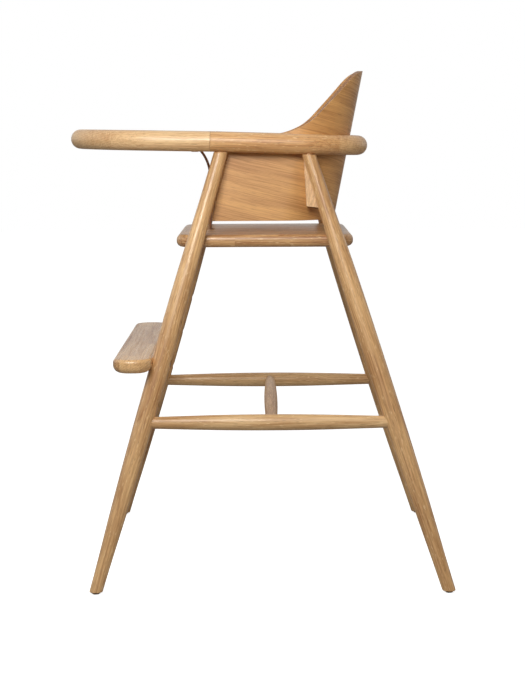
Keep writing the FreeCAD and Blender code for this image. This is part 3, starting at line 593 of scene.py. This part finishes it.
LAMP_COLOUR = (1.0, 0.975, 0.93)
LAMPS = (
    # name, place, what it points at, size, watts, whether glossy surfaces show it
    ("key", (1.35, -0.3, 1.32), (0, 0, 0.55), (0.6, 0.6), 16.5, True),
    ("left", (0.5, -2.2, 1.5), (0, 0, 0.5), (1.2, 1.4), 4.5, True),
    ("top", (0.3, 0.2, 2.6), (0, 0, 0.5), (1.4, 1.4), 2.5, True),
    ("right", (1.5, 1.9, 1.1), (0, 0, 0.5), (0.9, 0.9), 9, False),
)
GLOW_COLOUR = (1.0, 0.985, 0.965, 1.0)
GLOW_FAR_SIDE = 0.48
GLOW_FRONT = 0.14
GLOW_ALL_ROUND = 0.09
WHITE = (1.0, 1.0, 1.0, 1.0)

FLOOR_HALF = 9.0
FLOOR_LIGHT = (0.93, 0.93, 0.93, 1)
FLOOR_DARK = (0.9, 0.9, 0.9, 1)
FLOOR_BOUNCE = (0.36, 0.345, 0.325, 1.0)
FLOOR_GLOW = 0.75


def camera():
    data = bpy.data.cameras.new("camera")
    made = bpy.data.objects.new("camera", data)
    bpy.context.scene.collection.objects.link(made)
    data.lens = CAMERA_LENS
    data.sensor_width = CAMERA_SENSOR
    aim = Euler((math.pi / 2 - CAMERA_PITCH, 0, math.pi / 2), "XYZ").to_matrix()
    aim = aim @ Matrix.Rotation(CAMERA_ROLL, 3, "Z")
    made.matrix_world = Matrix.Translation(CAMERA_PLACE) @ aim.to_4x4()
    bpy.context.scene.camera = made


def lamp(name, place, target, size, power, glossy):
    data = bpy.data.lights.new(name, "AREA")
    data.shape = "RECTANGLE"
    data.size, data.size_y = size
    data.energy = power
    data.color = LAMP_COLOUR
    made = bpy.data.objects.new(name, data)
    bpy.context.scene.collection.objects.link(made)
    made.location = place
    made.visible_glossy = glossy
    made.rotation_mode = "QUATERNION"
    made.rotation_quaternion = (Vector(target) - Vector(place)).to_track_quat("-Z", "Y")


def studio():
    """Four soft lamps, and a glow from the chair's far side and front. The camera itself sees white."""
    view = bpy.context.scene.view_settings
    view.view_transform = "Standard"
    view.look = "None"
    world = bpy.data.worlds.new("studio")
    world.use_nodes = True
    bpy.context.scene.world = world
    net = Net(world.node_tree)
    way = net.add("SeparateXYZ", {0: net.add("TexCoord").outputs["Generated"]})
    far_side = net.ramp(way.outputs["X"], -0.55, 0.35, 1.0, 0.0)
    front = net.ramp(way.outputs["Y"], -0.9, 0.3, 1.0, 0.0)
    glow = net.plus(net.times(far_side, GLOW_FAR_SIDE), net.times(front, GLOW_FRONT))
    glow = net.plus(glow, GLOW_ALL_ROUND)
    back = net.add("Background", {"Color": GLOW_COLOUR, "Strength": glow})
    seen = net.add("Background", {"Color": WHITE, "Strength": 1.0})
    ray = net.add("LightPath").outputs["Is Camera Ray"]
    both = net.add("MixShader", {0: ray, 1: back.outputs[0], 2: seen.outputs[0]})
    net.add("OutputWorld", {"Surface": both.outputs[0]})
    for settings in LAMPS:
        lamp(*settings)


def floor():
    """A plain pale floor. The camera sees it lit up, and the chair gets a dimmer, warmer bounce from it."""
    mesh = bpy.data.meshes.new("floor")
    shape = bmesh.new()
    bmesh.ops.create_grid(shape, x_segments=4, y_segments=4, size=FLOOR_HALF)
    shape.to_mesh(mesh)
    shape.free()
    made = bpy.data.objects.new("floor", mesh)
    bpy.context.scene.collection.objects.link(made)
    paint, net = material("floor_paper")
    mottle = net.noise(net.place(), (3, 3, 3))
    colour = net.mix(mottle, FLOOR_DARK, FLOOR_LIGHT)
    shader = net.add("BsdfPrincipled", {"Base Color": colour, "Roughness": 0.9})
    dim = net.add("BsdfDiffuse", {"Color": FLOOR_BOUNCE})
    glow = net.add("Emission", {"Color": WHITE, "Strength": FLOOR_GLOW})
    ray = net.add("LightPath").outputs["Is Camera Ray"]
    lit = net.add("AddShader", {0: shader.outputs[0], 1: glow.outputs[0]})
    both = net.add("MixShader", {0: ray, 1: dim.outputs[0], 2: lit.outputs[0]})
    net.add("OutputMaterial", {"Surface": both.outputs[0]})
    mesh.materials.append(paint)


# ---------------------------------------------------------------- every CAD node's material

# Grain directions, of any length, and hearts on the child's left side. The right side mirrors them.
FRONT_LEG_GRAIN = (-125, 199.9, 687)
REAR_LEG_GRAIN = (-125, -218.5, 687)
ARM_GRAIN = (0, 1, -0.032)
TRAY_GRAIN = (0, 1, -0.02)
ARM_HEART = (-0.10, 0.004)
TRAY_HEART = (-0.11, -0.003)

ARM_OAK = (srgb(238, 192, 134), srgb(180, 122, 70))
TRAY_OAK = (srgb(240, 204, 154), srgb(192, 140, 90))
SIDE_OAK = (srgb(240, 204, 152), srgb(184, 134, 84))
CROSS_OAK = (srgb(222, 180, 128), srgb(158, 108, 62))
BOW_OAK = (srgb(242, 200, 144), srgb(190, 136, 84))
BEECH = (srgb(238, 204, 156), srgb(196, 150, 104))

LEG_GLOSS = 0.8
BOARD_GLOSS = 1.0
CROSS_GLOSS = 0.4
DOWEL_GLOSS = 0.1

SEAT_STAVES = (0, 0.045, 0.19)     # (axis across the staves, their width, their length)
FOOTREST_STAVES = (1, 0.031, 0.4)
PANEL_STAVES = (0, 0.06, 0.9)

DOWELS = (
    # material, direction, seed, nodes
    ("beech_upright", UPRIGHT, 81, ("leg_top_dowels",)),
    ("beech_across", ACROSS, 82, ("seat_dowels", "tray_rail_dowels")),
    ("beech_lengthways", LENGTHWAYS, 83, ("bow_dowels", "tray_bow_dowels")),
)
METALS = (
    # material, colour and worn colour in screen values, roughness, brushing in waves per metre, nodes
    ("steel_turned", (196, 194, 190), (150, 146, 140), 0.22, (1500, 200, 1500),
     ("footrest_bolts", "tray_pin_left", "tray_pin_right", "strap_pin")),
    ("steel_screws", (188, 182, 170), (140, 132, 118), 0.3, (900, 900, 900),
     ("shell_screws", "spacer_screws")),
    ("brass_satin", (206, 164, 96), (150, 110, 58), 0.26, (1200, 1200, 300),
     ("footrest_inserts", "tray_bush_left", "tray_bush_right", "tray_stud", "strap_snap")),
)


def dress(made, *names):
    for name in names:
        slots = NODES[name].data.materials
        slots.clear()
        slots.append(made)


def mirrored(place, way):
    """A place or direction of the child's left side, moved to the side that way stands for."""
    return (place[0] * way, *place[1:])


def dress_sides():
    for side, way in SIDES.items():
        front, rear = mirrored(FRONT_LEG_GRAIN, way), mirrored(REAR_LEG_GRAIN, way)
        arm_heart, tray_heart = mirrored(ARM_HEART, way), mirrored(TRAY_HEART, way)
        dress(oak("oak_front_leg_" + side, front, 11 + way, gloss=LEG_GLOSS), "leg_front_" + side)
        dress(oak("oak_rear_leg_" + side, rear, 21 + way, gloss=LEG_GLOSS), "leg_rear_" + side)
        dress(oak("oak_arm_" + side, ARM_GRAIN, 31 + way, ARM_OAK, arm_heart), "arm_" + side)
        dress(oak("oak_tray_side_" + side, TRAY_GRAIN, 41 + way, TRAY_OAK, tray_heart), "tray_side_" + side)
        dress(oak("oak_stretcher_" + side, LENGTHWAYS, 51 + way, SIDE_OAK), "side_stretcher_" + side)
        dress(oak("oak_spacer_" + side, UPRIGHT, 61 + way), "spacer_block_" + side)


def dress_middle():
    dress(oak("oak_back_bow", ACROSS, 71, BOW_OAK), "back_bow")
    dress(oak("oak_tray_bow", ACROSS, 72, TRAY_OAK), "tray_bow")
    dress(oak("oak_rear_rail", ACROSS, 73), "tray_rear_rail")
    cross = oak("oak_cross_stretcher", ACROSS, 74, CROSS_OAK, gloss=CROSS_GLOSS)
    dress(cross, "cross_stretcher")
    dress(oak("oak_seat", LENGTHWAYS, 75, staves=SEAT_STAVES, gloss=BOARD_GLOSS), "seat_board")
    dress(oak("oak_footrest", ACROSS, 76, staves=FOOTREST_STAVES, gloss=BOARD_GLOSS), "footrest_board")
    dress(oak("oak_panel", LENGTHWAYS, 77, staves=PANEL_STAVES), "tray_panel")
    dress(bent_plywood("oak_bent_plywood"), "back_shell")


def dress_fasteners():
    for name, direction, seed, nodes in DOWELS:
        dress(oak(name, direction, seed, BEECH, gloss=DOWEL_GLOSS), *nodes)
    for name, base, worn, rough, brush, nodes in METALS:
        dress(metal(name, base, worn, rough, brush), *nodes)
    glides = ["glide_%s_%s" % (end, side) for end in ("front", "rear") for side in SIDES]
    dress(hard_plastic("glide_plastic"), *glides)


camera()
studio()
floor()
dress_sides()
dress_middle()
dress_fasteners()
strap()
